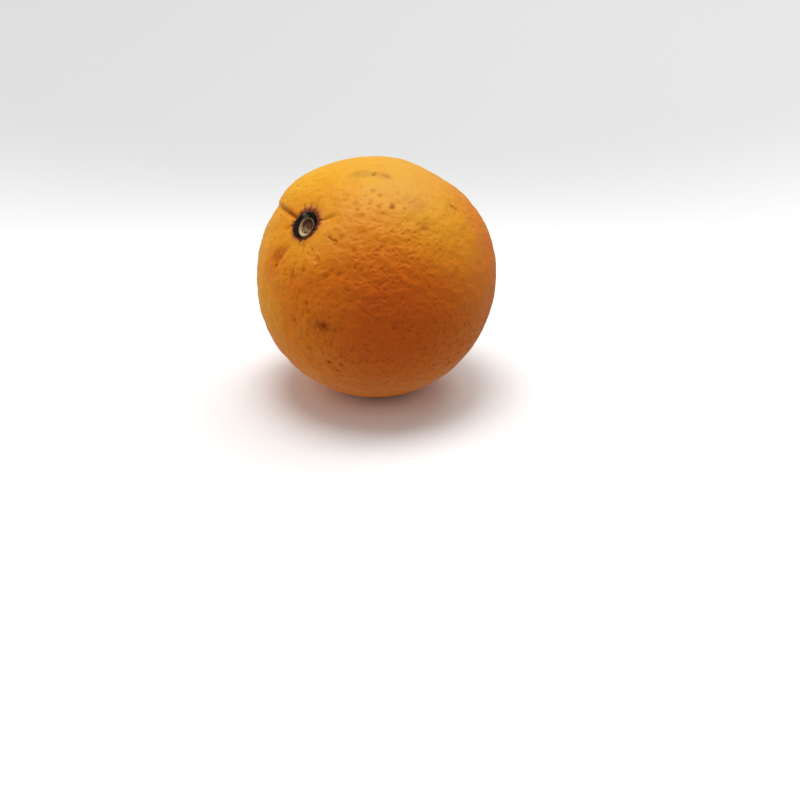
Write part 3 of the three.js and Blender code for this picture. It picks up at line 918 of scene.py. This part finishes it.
def stub_shape(radius, height, bearing):
    top = smoothstep(height, *STUB_TOP_EDGE)
    wall = smoothstep(radius, *STUB_WALL_EDGE)
    growth = ((1 - np.cos(bearing - math.radians(RIM_BEARING))) / 2) ** RIM_GROWTH
    rim = RIM_WIDTHS[0] + (RIM_WIDTHS[1] - RIM_WIDTHS[0]) * growth
    inner = STUB_RADIUS - rim
    spread = np.where(radius < CUP_RADIUS, radius * inner / CUP_RADIUS,
                      inner + (radius - CUP_RADIUS) * rim / (STUB_RADIUS - CUP_RADIUS))
    oval = STUB_OVAL[0] * np.cos(2 * (bearing - math.radians(STUB_OVAL[1])))
    uneven = ripples(bearing, STUB_OUTLINE_RIPPLES) + wall * ripples(bearing, STUB_WALL_RIPPLES)
    spread *= 1 + oval + uneven
    x = spread * np.cos(bearing)
    y = spread * np.sin(bearing)
    hollow = top * (1 - smoothstep(radius - CUP_RADIUS, *CUP_EDGE))
    upper = smoothstep(x, *CUP_DEEP_SHADED_EDGE)
    lift = top * ripples(bearing, STUB_TOP_RIPPLES) - CUP_DEEPENING * hollow * upper
    # The marks: the cup, its upper half, which carries painted shade, the rim's lower side, which is
    # painted cream partly as painted light, and the rim's thin side.
    marks = {
        "hollow": hollow,
        "upper": upper,
        "lit_cream": bell(wrapped(bearing - math.pi), LIT_CREAM_SPREAD),
        "thin": 1 - smoothstep(rim, *THIN_RIM_EDGE),
    }
    offset = math.radians(STUB_BEARING)
    x += STUB_OFFSET * math.cos(offset)
    y += STUB_OFFSET * math.sin(offset)
    return np.stack([x, y, height + lift], -1), marks


def stub():
    return turned_mesh("stem_stub_end", STUB_SECTION, *STUB_MESH, stub_shape)


def dry_finish(nodes, shader, grain, least_roughness, height):
    """A dry surface, which its grain makes uneven by a height in millimetres, and rougher in places."""
    inputs = {"Value": grain, "To Min": least_roughness, "To Max": DRY_ROUGHNESS}
    nodes.feed(shader.inputs["Roughness"], nodes.add("ShaderNodeMapRange", inputs=inputs))
    nodes.feed(shader.inputs["Normal"], nodes.bump(grain, height))
    shader.inputs["Specular IOR Level"].default_value = DRY_SPECULAR


def calyx_material():
    material, nodes, shader = new_material("calyx_dry")
    place = nodes.place()
    grain = nodes.noise(place, *CALYX_GRAIN_NOISE)
    mottle = nodes.fall(nodes.noise(place, *CALYX_MOTTLE_NOISE), *CALYX_MOTTLE_FALL)
    ridge = nodes.times(nodes.mark("ridge"), nodes.fall(grain, *CALYX_RIDGE_FALL))
    edge = nodes.mark("edge")
    ragged = nodes.linear(nodes.noise(place, *CALYX_RAGGED_NOISE), *CALYX_RAGGED_RANGE)
    border = nodes.times(nodes.linear(edge, 1.0, ragged), edge, clamp=True)
    # A pale flake, painted partly as a highlight.
    pale = nodes.times(nodes.mark("pale"), nodes.fall(grain, *CALYX_FLAKE_AND_GLINT_FALL))
    colour = nodes.mix(mottle, CALYX_GREEN, CALYX_BLACK)
    for share, tint in ((ridge, CALYX_BROWN), (border, CALYX_BORDER), (pale, CALYX_FLAKE_AND_GLINT)):
        colour = nodes.mix(share, colour, tint)
    nodes.feed(shader.inputs["Base Color"], colour)
    dry_finish(nodes, shader, grain, CALYX_LEAST_ROUGHNESS, CALYX_GRAIN_HEIGHT)
    return material


def stub_material():
    material, nodes, shader = new_material("stem_cut")
    place = nodes.place()
    grain = nodes.noise(place, *STUB_GRAIN_NOISE)
    threads = nodes.noise(place, *THREAD_NOISE)
    inside = nodes.mix(nodes.fall(threads, *DARK_THREAD_FALL), CUP_TAN, CUP_DARK)
    inside = nodes.mix(nodes.fall(threads, *PALE_THREAD_FALL), inside, CUP_PALE)
    # Painted shade: the upper half of the cup is darker brown.
    shaded = nodes.mix(nodes.fall(grain, *CUP_SHADE_FALL), CUP_SHADE_BROWN, CUP_DARK)
    inside = nodes.mix(nodes.mark("upper"), inside, shaded)
    # Painted light: the rim is cream on its lower side, over the wood's own colour.
    rim = nodes.mix(nodes.mark("lit_cream"), STUB_TAN, STUB_LIT_CREAM)
    rim = nodes.mix(nodes.mark("thin"), rim, STUB_THIN)
    rim = nodes.mix(nodes.times(nodes.fall(grain, *RIM_FLECK_FALL), RIM_FLECK_TINT), rim, CUP_TAN)
    nodes.feed(shader.inputs["Base Color"], nodes.mix(nodes.mark("hollow"), rim, inside))
    dry_finish(nodes, shader, grain, STUB_LEAST_ROUGHNESS, STUB_GRAIN_HEIGHT)
    return material


# ---- the stage, the lights and the camera ----------------------------------------------------------


def floor_material():
    material, nodes, shader = new_material("floor")
    position = nodes.add("ShaderNodeTexCoord", "Object")
    behind = nodes.add("ShaderNodeSeparateXYZ", "Y", {"Vector": position})
    # Painted shade: greyer towards the wall behind the fruit.
    colour = nodes.mix(nodes.fall(behind, *WALL_SHADE_FALL), WALL_SHADE_GREY, FLOOR_WHITE)
    nodes.feed(shader.inputs["Base Color"], colour)
    shader.inputs["Roughness"].default_value = FLOOR_ROUGHNESS
    return material


def floor_part(name, points, faces, material):
    """A part of the floor, from points in metres."""
    part = make_mesh(name, np.array(points), faces, {})
    part.data.materials.append(material)
    return part


def backdrop():
    """A floor that turns up into a low wall all round. The world and the lights shine onto the fruit
    through it, apart from its middle, which keeps the spot that the fruit rests on dark."""
    rise = np.linspace(0, math.pi / 2, BOWL_STEPS)
    radius = np.concatenate([[FLOOR_MIDDLE, FLOOR_RING], BOWL_FLAT + BOWL_CURVE * np.sin(rise)])
    height = np.concatenate([[0, 0], BOWL_CURVE * (1 - np.cos(rise))])
    turn = np.arange(BOWL_SECTORS) * 2 * math.pi / BOWL_SECTORS
    points = [(r * math.cos(t), r * math.sin(t), z) for r, z in zip(radius, height) for t in turn]
    number = np.arange(len(points)).reshape(-1, BOWL_SECTORS)
    beside = np.roll(number, -1, 1)
    faces = np.stack([number[:-1], number[1:], beside[1:], beside[:-1]], -1).reshape(-1, 4)
    material = floor_material()
    floor_part("floor_middle", points[:BOWL_SECTORS], [list(range(BOWL_SECTORS))], material)
    bowl = floor_part("floor", points, faces.tolist(), material)
    bowl.visible_diffuse = False
    bowl.visible_glossy = False
    bowl.visible_shadow = False


def area_light(name, place, aim, size, power, mirrored):
    light = bpy.data.lights.new(name, "AREA")
    light.shape = "DISK"
    light.size = size
    light.energy = power
    lamp = bpy.data.objects.new(name, light)
    lamp.location = place
    lamp.rotation_euler = (Vector(aim) - Vector(place)).to_track_quat("-Z", "Y").to_euler()
    lamp.visible_glossy = mirrored
    bpy.context.scene.collection.objects.link(lamp)


def lighting():
    middle = tuple(CENTRE * MM)
    for name, place, size, power, mirrored in LIGHTS:
        area_light(name, place, middle, size, power, mirrored)
    world = bpy.data.worlds.new("studio")
    world.use_nodes = True
    background = world.node_tree.nodes["Background"]
    background.inputs["Color"].default_value = (1, 1, 1, 1)
    background.inputs["Strength"].default_value = WORLD_STRENGTH
    bpy.context.scene.world = world
    view = bpy.context.scene.view_settings
    view.view_transform = "Standard"
    view.look = "Medium High Contrast"


def camera():
    data = bpy.data.cameras.new("camera")
    data.lens = LENS
    data.sensor_width = SENSOR
    tilt = Matrix.Rotation(math.radians(90 - CAMERA_TILT), 3, "X")
    focal = LENS / SENSOR * FRAME
    sight = Vector((FRUIT_PIXEL[0] - FRAME / 2, FRAME / 2 - FRUIT_PIXEL[1], -focal)).normalized()
    viewer = bpy.data.objects.new("camera", data)
    viewer.location = Vector(CENTRE * MM) - CAMERA_DISTANCE * (tilt @ sight)
    viewer.rotation_euler = tilt.to_euler()
    bpy.context.scene.collection.objects.link(viewer)
    bpy.context.scene.camera = viewer


PIECES = [
    (peel, peel_material, "fruit", "peel"),
    (calyx, calyx_material, "calyx", "calyx"),
    (stub, stub_material, "stem_stub", "stem"),
]

camera()
lighting()
backdrop()
for make, finish, node, slot in PIECES:
    piece = make()
    piece.data.materials.append(finish())
    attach(piece, "root")
    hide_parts(node)
